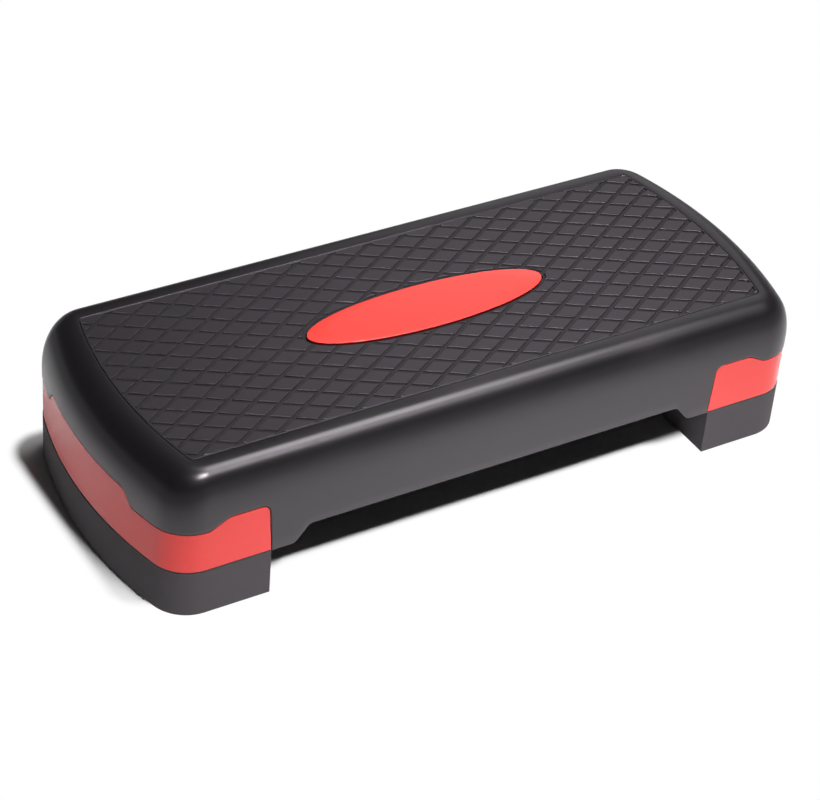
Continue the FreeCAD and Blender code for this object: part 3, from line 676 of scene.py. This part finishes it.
def new_geometry_tree(name, inputs):
    """A Geometry Nodes tree with these named inputs: the graph, the inputs and their identifiers."""
    tree = bpy.data.node_groups.new(name, "GeometryNodeTree")
    identifiers = {}
    for label, kind in inputs:
        identifiers[label] = tree.interface.new_socket(label, in_out="INPUT", socket_type=kind).identifier
    tree.interface.new_socket("Geometry", in_out="OUTPUT", socket_type="NodeSocketGeometry")
    graph = Graph(tree)
    source = tree.nodes.new("NodeGroupInput")
    return graph, {label: Wire(graph, source.outputs[label]) for label in identifiers}, identifiers


def end_tree(graph, geometry, finish):
    """The last nodes of a tree: real geometry with its finish."""
    realized = graph.node("GeometryNodeRealizeInstances", sockets={"Geometry": geometry})
    coloured = graph.node("GeometryNodeSetMaterial", sockets={"Geometry": realized, "Material": finish})
    graph.node("NodeGroupOutput", sockets={"Geometry": coloured})


def evaluated(name, graph, identifiers, values):
    """The tree's result as a plain mesh."""
    host = finished_object(name + "_host", bpy.data.meshes.new(name + "_host"))
    modifier = host.modifiers.new(name, "NODES")
    modifier.node_group = graph.tree
    for label, value in values.items():
        modifier[identifiers[label]] = value
    mesh = plain_mesh(host)
    mesh.name = name
    return mesh


def row_tree():
    """One form repeated along a line."""
    graph, given, identifiers = new_geometry_tree("row_of_forms", (
        ("Form", "NodeSocketObject"), ("Count", "NodeSocketInt"), ("First", "NodeSocketVector"),
        ("Step", "NodeSocketVector"), ("Finish", "NodeSocketMaterial")))
    line = graph.node("GeometryNodeMeshLine", {"mode": "OFFSET"}, {
        "Count": given["Count"], "Start Location": given["First"], "Offset": given["Step"]})
    form = graph.node("GeometryNodeObjectInfo", sockets={"Object": given["Form"]}, output="Geometry")
    row = graph.node("GeometryNodeInstanceOnPoints", sockets={"Points": line, "Instance": form})
    end_tree(graph, row, given["Finish"])
    return graph, identifiers


def row_of_forms(name, form, count, first, step, finish):
    """A mesh of the form repeated along a line; the form itself is used up."""
    graph, identifiers = ROW_TREE
    mesh = evaluated(name, graph, identifiers, {"Form": form, "Count": count, "First": first, "Step": step,
                                                "Finish": finish})
    bpy.data.objects.remove(form)
    return mesh


def diamond_tree():
    """Two interleaved grids of pads, trimmed to the mat's outline and cut round the oval."""
    graph, given, identifiers = new_geometry_tree("diamond_pads", (
        ("Pad", "NodeSocketObject"), ("Outline", "NodeSocketObject"), ("Oval", "NodeSocketObject"),
        ("Diamond Length", "NodeSocketFloat"), ("Diamond Width", "NodeSocketFloat"),
        ("Columns", "NodeSocketInt"), ("Rows", "NodeSocketInt"), ("Finish", "NodeSocketMaterial")))

    def grid(columns, side):
        """A grid of pad places, shifted across by a quarter of a diamond to one side."""
        mesh = graph.node("GeometryNodeMeshGrid", sockets={
            "Size X": given["Diamond Length"] * (columns - 1), "Vertices X": columns,
            "Size Y": given["Diamond Width"] * (given["Rows"] - 1), "Vertices Y": given["Rows"]})
        shift = graph.node("ShaderNodeCombineXYZ", sockets={"Y": given["Diamond Width"] * (side / 4)})
        return graph.node("GeometryNodeSetPosition", sockets={"Geometry": mesh, "Offset": shift})

    places = graph.node("GeometryNodeJoinGeometry", sockets={
        "Geometry": [grid(given["Columns"], 1), grid(given["Columns"] - 1, -1)]})
    pad, outline, hole = [
        graph.node("GeometryNodeObjectInfo", sockets={"Object": given[label]}, output="Geometry")
        for label in ("Pad", "Outline", "Oval")]
    pads = graph.node("GeometryNodeInstanceOnPoints", sockets={"Points": places, "Instance": pad})
    solid = graph.node("GeometryNodeRealizeInstances", sockets={"Geometry": pads})
    trimmed = graph.node("GeometryNodeMeshBoolean", {"operation": "INTERSECT", "solver": "EXACT"},
                         {"Mesh 2": [solid, outline]})
    holed = graph.node("GeometryNodeMeshBoolean", {"operation": "DIFFERENCE", "solver": "EXACT"},
                       {"Mesh 1": trimmed, "Mesh 2": hole})
    end_tree(graph, holed, given["Finish"])
    return graph, identifiers


# Tread mat and oval badge


def oval(half_length, half_width, steps=OVAL_STEPS):
    """Points round an oval."""
    turns = [2 * math.pi * number / steps for number in range(steps)]
    return [(half_length * math.cos(turn), half_width * math.sin(turn)) for turn in turns]


def rounded_rings(outline_at, low, high, edge):
    """Rings up an upright wall and over a rounded upper edge; outline_at gives the outline drawn in."""
    rings = [at_height(outline_at(0), low)]
    for come_in, rise in quarter_round(edge):
        rings.append(at_height(outline_at(come_in), high - rise))
    return rings


def sheet_mesh():
    """The mat's flat sheet between the grooves' bottom and the deck, with its oval hole."""
    places = even_places(SHEET_STEPS)
    groove_floor = MAT_TOP - GROOVE_DEPTH
    outer = rounded_rings(lambda inset: tread_outline(-inset, places), MAT_BOTTOM, MAT_TOP - BEAD_DROP,
                          MAT_EDGE_ROUND)
    outer += reversed(rounded_rings(lambda inset: tread_outline(inset - BEAD_WIDTH, places), groove_floor,
                                    MAT_TOP - BEAD_DROP, MAT_EDGE_ROUND))
    hole = []
    for x, y in tread_outline(0, places):
        turn = math.atan2(y / TREAD_HALF_WIDTH, x / TREAD_HALF_LENGTH)
        hole.append(((BADGE_HALF_LENGTH + BADGE_GAP) * math.cos(turn),
                     (BADGE_HALF_WIDTH + BADGE_GAP) * math.sin(turn)))
    inner = [at_height(hole, groove_floor), at_height(hole, MAT_BOTTOM)]
    return ringed_mesh("mat_sheet", outer + inner, closed=True)


def pad_mesh():
    """One diamond pad: steep flanks, a narrow bevel and a flat top."""
    reach, breadth = DIAMOND_LONG / 2, DIAMOND_CROSS / 2
    corners = [(reach, 0), (0, breadth), (-reach, 0), (0, -breadth)]
    rings = []
    for size_share, height in ((PAD_FOOT_SHARE, MAT_TOP - GROOVE_DEPTH - PAD_SINK),
                               (PAD_SHOULDER_SHARE, MAT_TOP - PAD_SHOULDER_DROP),
                               (PAD_TOP_SHARE, MAT_TOP)):
        rings.append([(x * size_share, y * size_share, height) for x, y in corners])
    return ringed_mesh("diamond_pad", rings)


def trim_form(name, outline_at, slope):
    """A block through the whole mat that trims the pads and bevels their cut edges; outline_at gives its
    outline, grown, and slope is 1 where the block widens upwards and -1 where it narrows."""
    rings = []
    for rise in (-TRIM_REACH, -MAT_EDGE_BEVEL, TRIM_REACH):
        grow = slope * max(0, rise + MAT_EDGE_BEVEL)
        rings.append(at_height(outline_at(grow), MAT_TOP + rise))
    return finished_object(name, ringed_mesh(name, rings))


def make_tread(finish):
    """The mat's sheet with its diamond pads."""
    graph, identifiers = diamond_tree()
    pad = finished_object("pad_form", pad_mesh())
    places = even_places(SHEET_STEPS)
    outline = trim_form("mat_outline_form", lambda grow: tread_outline(grow - BEAD_WIDTH / 2, places), -1)
    hole = trim_form("oval_form", lambda grow: oval(BADGE_HALF_LENGTH + OVAL_RIM + grow,
                                                    BADGE_HALF_WIDTH + OVAL_RIM + grow), 1)
    pads = evaluated("diamond_pads", graph, identifiers, {
        "Pad": pad, "Outline": outline, "Oval": hole, "Diamond Length": DIAMOND_LONG,
        "Diamond Width": DIAMOND_CROSS, "Columns": PAD_COLUMNS, "Rows": PAD_ROWS, "Finish": finish})
    for form in (pad, outline, hole):
        bpy.data.objects.remove(form)
    tread = finished_object("diamond_tread", joined("diamond_tread", [sheet_mesh(), creased(pads)]))
    dress(tread, finish, "platform", "tread_rubber", "tread_mat")


def make_badge(finish):
    """The plain oval: a rounded edge and a very low dome."""

    def drawn_in(inset):
        """The badge's outline, drawn in a little all round and then by the inset."""
        inset += BADGE_DRAWN_IN
        return oval(BADGE_HALF_LENGTH - inset, BADGE_HALF_WIDTH - inset)

    rings = rounded_rings(drawn_in, MAT_BOTTOM, BADGE_TOP - BADGE_DOME, BADGE_EDGE_ROUND)
    for step in range(1, DOME_STEPS):
        inner_share = 1 - step / DOME_STEPS
        points = [(x * inner_share, y * inner_share) for x, y in drawn_in(BADGE_EDGE_ROUND)]
        rings.append(at_height(points, BADGE_TOP - BADGE_DOME * inner_share ** 2))
    badge = finished_object("oval_badge", ringed_mesh("oval_badge", rings))
    dress(badge, finish, "platform", "red_plastic", "centre_badge")


# Inserts and risers


def on_outer_wall(vertex):
    """Whether a point of an end piece lies on the wall that shows from outside."""
    x, y = abs(vertex.co.x), abs(vertex.co.y)
    if y > HALF_WIDTH - OUTER_WALL_REACH:
        return True
    bow = math.hypot(x - END_MIDDLE, y)
    corner = math.hypot(max(0, x - FRONT_LINE_END), max(0, y - CORNER_MIDDLE))
    return bow > END_RADIUS - OUTER_WALL_REACH or corner > CORNER_RADIUS - OUTER_WALL_REACH


def wall_direction(x, y):
    """Which way the platform's outer wall faces beside a point of the plan."""
    along, across = math.copysign(1, x), math.copysign(1, y)
    x, y = abs(x), abs(y)
    if x <= FRONT_LINE_END:
        return Vector((0, across, 0))
    facing = Vector((x - END_MIDDLE, y, 0))
    if math.atan2(facing.y, facing.x) > END_ARC_TILT:
        facing = Vector((x - FRONT_LINE_END, y - CORNER_MIDDLE, 0))
    facing.normalize()
    return Vector((facing.x * along, facing.y * across, 0))


def even_walls(mesh):
    """Shades the outer wall by the direction that it truly faces, so that its flat strips don't show."""
    normals = [corner.vector.copy() for corner in mesh.corner_normals]
    for number, corner in enumerate(mesh.loops):
        vertex = mesh.vertices[corner.vertex_index]
        facing = wall_direction(vertex.co.x, vertex.co.y)
        if on_outer_wall(vertex) and normals[number].dot(facing) > WALL_LIKENESS:
            normals[number] = facing
    mesh.normals_split_custom_set(normals)


def moulded_copy(name, node, edge):
    """A copy of an end piece with its outer edges rounded and its curved walls shaded smooth."""
    form = bmesh.new()
    form.from_mesh(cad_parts[node].data)
    bmesh.ops.remove_doubles(form, verts=form.verts, dist=WELD_REACH)
    bmesh.ops.dissolve_limit(form, angle_limit=FLAT_ANGLE, verts=form.verts, edges=form.edges)
    outer_edges = [link for link in form.edges
                   if len(link.link_faces) == 2 and link.calc_face_angle() > SHARP_ANGLE
                   and all(on_outer_wall(vertex) for vertex in link.verts)]
    bmesh.ops.bevel(form, geom=outer_edges, offset=edge, offset_type="OFFSET", segments=EDGE_STEPS,
                    profile=BEVEL_PROFILE_SHARE, affect="EDGES", clamp_overlap=True)
    shade(form, SHARP_ANGLE)
    rough = finished_object(name + "_rough", saved_mesh(name + "_rough", form))
    rough.modifiers.new("even_shading", "WEIGHTED_NORMAL").keep_sharp = True
    mesh = plain_mesh(rough)
    even_walls(mesh)
    return finished_object(name, mesh)


def make_end_pieces(side, red, grey):
    """The red insert and the riser of one end."""
    insert = moulded_copy(side + "_red_insert", side + "_end_insert", INSERT_EDGE_ROUND)
    dress(insert, red, "platform", "red_plastic", side + "_end_insert")
    riser = moulded_copy(side + "_riser_block", side + "_riser", RISER_EDGE_ROUND)
    dress(riser, grey, side + "_riser_body", "riser_plastic", side + "_riser")


# Rubber pads and screws


def foot_mesh():
    """A rubber foot with cut corners and a shallow hollow in its sole."""
    half, cut = FOOT_HALF, FOOT_CUT_CORNER
    corners = [(half, cut - half), (half, half - cut), (half - cut, half), (cut - half, half),
               (-half, half - cut), (-half, cut - half), (cut - half, -half), (half - cut, -half)]
    rings = []
    for size_share, height in FOOT_RING_SHARES:
        rings.append([(x * size_share, y * size_share, height * FOOT_THICK) for x, y in corners])
    return ringed_mesh("rubber_foot", rings)


def make_feet(side, finish):
    """The four rubber feet of one riser."""
    sign = SIDE_SIGNS[side]
    rows = []
    for label, x, y in (("inner", FOOT_INNER_X, FOOT_INNER_Y), ("outer", FOOT_OUTER_X, FOOT_OUTER_Y)):
        form = finished_object("foot_form", foot_mesh())
        rows.append(row_of_forms("feet_" + label, form, PAIR, (sign * x, -y, 0), (0, 2 * y, 0), finish))
    feet = finished_object(side + "_rubber_feet", joined(side + "_rubber_feet", rows))
    nodes = ["%s_pad_%s" % (side, place)
             for place in ("front_inner", "back_inner", "front_outer", "back_outer")]
    dress(feet, finish, side + "_riser_body", "pad_rubber", *nodes)


def screw_mesh(low, high):
    """A pan-head screw with a round recess in its head, which points down, and its tip at the high level."""
    rings = [at_height(oval(radius, radius, SCREW_SIDES), low + height) for radius, height in SCREW_RINGS]
    rings[-1] = [(x, y, high) for x, y, _ in rings[-1]]
    return ringed_mesh("insert_screw", rings)


def make_screws(side, finish):
    """The two screws that hold one insert up."""
    first = (SIDE_SIGNS[side] * SCREW_X, -SCREW_Y, 0)
    node = side + "_insert_screws"
    low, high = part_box(node)
    form = finished_object("screw_form", screw_mesh(low[2], high[2]))
    mesh = row_of_forms(side + "_pan_screws", form, PAIR, first, (0, 2 * SCREW_Y, 0), finish)
    dress(finished_object(side + "_pan_screws", mesh), finish, "platform", "screw_steel", node)


def dress(piece, finish, body, slot, *nodes):
    """Gives a piece its finish and the CAD nodes that it stands for."""
    piece.data.materials.clear()
    piece.data.materials.append(finish)
    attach(piece, body)
    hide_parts(*nodes)


# Finishes


def new_finish(name):
    """An empty material: its graph and the piece's own coordinates."""
    material = bpy.data.materials.new(name)
    material.use_nodes = True
    material.node_tree.nodes.clear()
    graph = Graph(material.node_tree)
    return material, graph, graph.node("ShaderNodeTexCoord", output="Object")


def noise(graph, place, pattern):
    """Noise from 0 to 1 in a named pattern."""
    scale, detail = pattern
    return graph.node("ShaderNodeTexNoise", sockets={"Vector": place, "Scale": scale, "Detail": detail})


def height_of(graph, place):
    """How high a place lies."""
    return graph.node("ShaderNodeSeparateXYZ", sockets={"Vector": place}, output="Z")


def between(graph, mask, first, second):
    """A colour that goes from the first to the second as the mask goes from 0 to 1."""
    sockets = {MIX_FACTOR: mask, MIX_FIRST: first, MIX_SECOND: second}
    return graph.node("ShaderNodeMix", {"data_type": "RGBA"}, sockets, output=MIX_RESULT)


def stretched(graph, place, scale):
    """A place with its axes scaled, so that a pattern draws out along some of them."""
    return graph.node("ShaderNodeMapping", sockets={"Vector": place, "Scale": scale})


def faded(graph, value, start, end):
    """0 up to start, 1 from end on, and smooth between them; end may lie below start."""
    return graph.node("ShaderNodeMapRange", {"interpolation_type": "SMOOTHSTEP"}, {
        "Value": value, "From Min": start, "From Max": end})


def bumped(graph, height, distance, strength):
    """The surface's direction, tilted by a relief."""
    sockets = {"Height": height, "Distance": distance, "Strength": strength}
    return graph.node("ShaderNodeBump", sockets=sockets)


def end_finish(graph, colour, roughness, normal, **constants):
    """The last nodes of a finish; a constant's name has an underscore for each space of its socket's."""
    sockets = {"Base Color": colour, "Roughness": roughness, "Normal": normal}
    sockets.update({name.replace("_", " "): value for name, value in constants.items()})
    surface = graph.node("ShaderNodeBsdfPrincipled", sockets=sockets)
    graph.node("ShaderNodeOutputMaterial", sockets={"Surface": surface})


def moulded_plastic(name, tones, surface, painted_shade=None):
    """Moulded plastic: fine spark grain, slow drifts of gloss and faint rubbed streaks. The painted shade is
    a dark colour painted along a piece's lower edge, where the gap beside it lies in shade, and the heights
    where it is full and where it is gone."""
    colour, dusty = tones
    rough, shine, grain_strength, uneven = surface
    material, graph, place = new_finish(name)
    grain = noise(graph, place, GRAIN_NOISE)
    drift = noise(graph, place, DRIFT_NOISE)
    streaks = noise(graph, stretched(graph, place, STREAK_STRETCH), STREAK_NOISE)
    rubbed = faded(graph, streaks, *STREAK_FADE) * faded(graph, drift, *DRIFT_FADE)
    mottle = noise(graph, place, MOTTLE_NOISE)
    tone = between(graph, rubbed * RUBBED_TONE_SHARE + mottle * MOTTLE_TONE_SHARE, colour, dusty)
    # Painted shade: the colour turns dark towards the lower edge, where the gap beside the piece lies in
    # shade
    if painted_shade is not None:
        shade_colour, full, gone = painted_shade
        tone = between(graph, faded(graph, height_of(graph, place), full, gone), shade_colour, tone)
    drifting = drift * DRIFT_ROUGHNESS + rubbed * RUBBED_ROUGHNESS - MEAN_ROUGHNESS
    normal = bumped(graph, grain, GRAIN_DEPTH, grain_strength)
    end_finish(graph, tone, rough + drifting * uneven, normal, Specular_IOR_Level=shine,
               Specular_Tint=PLASTIC_SHEEN)
    return material


def mat_rubber():
    """Tread rubber: fine pores, fibres, slow drifts of tone, rough grooves darkened with painted shade, and
    polished tops.
    """
    material, graph, place = new_finish("tread_rubber_finish")
    pores = noise(graph, place, PORE_NOISE)
    drift = noise(graph, place, RUBBER_DRIFT_NOISE)
    on_top = faded(graph, height_of(graph, place), MAT_TOP - PAD_SHOULDER_DROP, MAT_TOP - PAD_RIM_DROP)
    fibres = noise(graph, stretched(graph, place, FIBRE_STRETCH), FIBRE_NOISE)
    tone = between(graph, drift * DRIFT_TONE_SHARE + fibres * FIBRE_TONE_SHARE, RUBBER_DARK, RUBBER_PALE)
    # Painted shade: the flanks and floors of the grooves take a darker colour than the pad tops
    tone = between(graph, on_top, GROOVE_PAINTED_SHADE, tone)
    roughness = GROOVE_ROUGHNESS - on_top * PAD_POLISH + pores * PORE_ROUGHNESS
    normal = bumped(graph, pores, PORE_DEPTH, PORE_STRENGTH)
    end_finish(graph, tone, roughness, normal, Specular_Tint=RUBBER_SHEEN)
    return material


def foot_rubber():
    """Matt black rubber with fine pores."""
    material, graph, place = new_finish("foot_rubber_finish")
    pores = noise(graph, place, PORE_NOISE)
    tone = between(graph, pores, FOOT_DARK, FOOT_PALE)
    roughness = FOOT_ROUGHNESS + pores * FOOT_PORE_ROUGHNESS
    end_finish(graph, tone, roughness, bumped(graph, pores, PORE_DEPTH, FOOT_PORE_STRENGTH))
    return material


def plated_steel():
    """Zinc-plated steel with a cloudy grain."""
    material, graph, place = new_finish("screw_steel_finish")
    cloud = noise(graph, place, PLATING_NOISE)
    tone = between(graph, cloud, STEEL_DARK, STEEL_PALE)
    roughness = STEEL_ROUGHNESS + cloud * PLATING_ROUGHNESS
    end_finish(graph, tone, roughness, bumped(graph, cloud, PORE_DEPTH, PLATING_STRENGTH),
               Metallic=STEEL_METALLIC)
    return material


# Floor, lamps and camera


def ray_kinds(graph):
    """Whether a ray comes straight from the camera, and whether it comes by way of a mirror or glass."""
    camera, glossy, through = (graph.node("ShaderNodeLightPath", output=label)
                               for label in ("Is Camera Ray", "Is Glossy Ray", "Is Transmission Ray"))
    return camera, glossy + through


def mixed_shaders(graph, factor, first, second):
    """A shader that goes from the first to the second as the factor goes from 0 to 1."""
    return graph.node("ShaderNodeMixShader", sockets=dict(enumerate((factor, first, second))))


def pale_floor():
    """A pale finish that holds the shadow near the platform and is plain white to the eye further off."""
    material, graph, place = new_finish("pale_floor")
    camera, mirrored = ray_kinds(graph)
    aside = place
    for operation, amounts in (("SUBTRACT", [SHADOW_CENTRE]), ("ABSOLUTE", []), ("SUBTRACT", [SHADOW_HALF]),
                               ("MAXIMUM", [(0, 0, 0)])):
        sockets = dict(enumerate([aside] + amounts))
        aside = graph.node("ShaderNodeVectorMath", {"operation": operation}, sockets)
    distance = graph.node("ShaderNodeVectorMath", {"operation": "LENGTH"}, {0: aside}, output="Value")
    seen = camera * faded(graph, distance, SHADOW_ROUND, SHADOW_ROUND + SHADOW_FADE)
    seen = seen + mirrored * faded(graph, distance, MIRRORED_START, MIRRORED_END)
    matte = graph.node("ShaderNodeBsdfDiffuse", sockets={"Color": FLOOR_COLOUR})
    plain = graph.node("ShaderNodeEmission", sockets={"Color": FLOOR_WHITE, "Strength": PLAIN_STRENGTH})
    graph.node("ShaderNodeOutputMaterial", sockets={"Surface": mixed_shaders(graph, seen, matte, plain)})
    return material


def make_floor(finish):
    """The floor in two halves. Each goes with its riser, so that a riser that is off the platform still
    stands on the floor."""
    for side, first, last in (("left", -FLOOR_HALF, 0), ("right", 0, FLOOR_HALF)):
        corners = ((first, -FLOOR_HALF), (last, -FLOOR_HALF), (last, FLOOR_HALF), (first, FLOOR_HALF))
        form = bmesh.new()
        form.faces.new([form.verts.new((x, y, 0)) for x, y in corners])
        floor = finished_object(side + "_studio_floor", saved_mesh(side + "_studio_floor", form))
        floor.data.materials.append(finish)
        floor.parent = bpy.data.objects[side + "_rubber_feet"]


def make_lamp(name, place, target, size, spread, power):
    """A rectangular lamp at a place, turned to its target."""
    lamp = bpy.data.lights.new(name, "AREA")
    lamp.shape = "RECTANGLE"
    lamp.size, lamp.size_y = size
    lamp.spread = math.radians(spread)
    lamp.energy = power
    stand = bpy.data.objects.new(name, lamp)
    stand.location = place
    stand.rotation_euler = (Vector(target) - Vector(place)).to_track_quat("-Z", "Y").to_euler()
    bpy.context.scene.collection.objects.link(stand)


def make_world():
    """Dim studio air with a white sweep round it, which the camera sees at any height and shiny surfaces low
    down."""
    world = bpy.data.worlds.new("studio")
    world.use_nodes = True
    world.node_tree.nodes.clear()
    graph = Graph(world.node_tree)
    camera, mirrored = ray_kinds(graph)
    direction = graph.node("ShaderNodeTexCoord", output="Generated")
    seen = camera + mirrored * faded(graph, height_of(graph, direction), SWEEP_TOP, SWEEP_FULL)
    air = graph.node("ShaderNodeBackground", sockets={"Color": STUDIO_AIR, "Strength": PLAIN_STRENGTH})
    sweep = graph.node("ShaderNodeBackground", sockets={"Color": FLOOR_WHITE, "Strength": PLAIN_STRENGTH})
    graph.node("ShaderNodeOutputWorld", sockets={"Surface": mixed_shaders(graph, seen, air, sweep)})
    bpy.context.scene.world = world


def make_camera():
    """The camera at the photo's view."""
    camera = bpy.data.cameras.new("photo_view")
    camera.sensor_fit = "HORIZONTAL"
    camera.sensor_width = SENSOR_WIDTH
    camera.lens = LENS
    stand = bpy.data.objects.new("photo_view", camera)
    right, up, back = (Vector(axis) for axis in (CAMERA_RIGHT, CAMERA_UP, CAMERA_BACK))
    turn = Matrix((right, up, back)).transposed().to_4x4()
    stand.matrix_world = Matrix.Translation(CAMERA_PLACE) @ turn
    bpy.context.scene.collection.objects.link(stand)
    bpy.context.scene.camera = stand


ROW_TREE = row_tree()
deck_black = moulded_plastic("deck_plastic_finish", (DECK_BLACK, DECK_DUSTY), DECK_SURFACE)
riser_grey = moulded_plastic("riser_plastic_finish", (RISER_GREY, RISER_DUSTY), RISER_SURFACE)
red_tones = (INSERT_RED, INSERT_DUSTY)
# The insert's lowest edge, along its seam with the riser, has painted shade
insert_red = moulded_plastic("red_plastic_finish", red_tones, RED_SURFACE, INSERT_PAINTED_SHADE)
make_deck(deck_black)
make_tread(mat_rubber())
# The badge's wall down in its gap round the mat has painted shade
make_badge(moulded_plastic("badge_plastic_finish", red_tones, RED_SURFACE, BADGE_PAINTED_SHADE))
rubber = foot_rubber()
steel = plated_steel()
for end_side in SIDE_SIGNS:
    make_end_pieces(end_side, insert_red, riser_grey)
    make_feet(end_side, rubber)
    make_screws(end_side, steel)
make_floor(pale_floor())
make_world()
for lamp in LAMPS:
    make_lamp(*lamp)
make_camera()
bpy.context.scene.view_settings.view_transform = "Standard"
